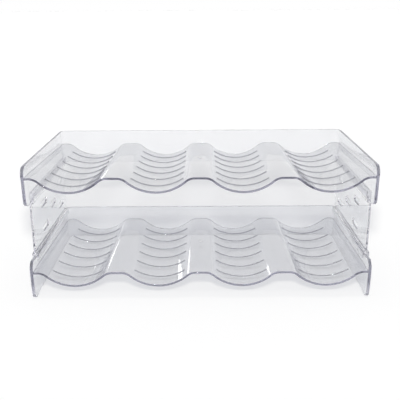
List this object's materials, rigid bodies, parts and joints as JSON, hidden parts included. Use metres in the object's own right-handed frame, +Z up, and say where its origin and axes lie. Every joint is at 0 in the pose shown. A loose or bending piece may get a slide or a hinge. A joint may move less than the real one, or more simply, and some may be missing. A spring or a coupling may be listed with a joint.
{
  "type": "water bottle organizer",
  "caption": "Tiered clear plastic water bottle organizer with scalloped trays and perforated side risers.",
  "frame": {"origin": "centre of the footprint on the surface that the lower tray stands on", "axes": "+X across the width to the right seen from the open front, -Y out of the open front, +Z up"},
  "size_m": [0.3598, 0.184, 0.1438],
  "materials": {
    "clear_plastic": "gloss"
  },
  "bodies": {
    "lower_tray": {"lower_tray": "clear_plastic"},
    "left_riser": {"left_riser": "clear_plastic"},
    "right_riser": {"right_riser": "clear_plastic"},
    "upper_tray": {"upper_tray": "clear_plastic"}
  },
  "joints": [
    {"name": "left_riser_lift", "type": "slide", "parent": "lower_tray", "child": "left_riser", "axis": [0, 0, 1], "range_m": [0, 0.06]},
    {"name": "right_riser_lift", "type": "slide", "parent": "lower_tray", "child": "right_riser", "axis": [0, 0, 1], "range_m": [0, 0.06]},
    {"name": "upper_tray_lift", "type": "slide", "parent": "left_riser", "child": "upper_tray", "axis": [0, 0, 1], "range_m": [0, 0.06]}
  ],
  "couplings": [
    {"joint": "right_riser_lift", "follows": "left_riser_lift", "ratio": 1}
  ]
}
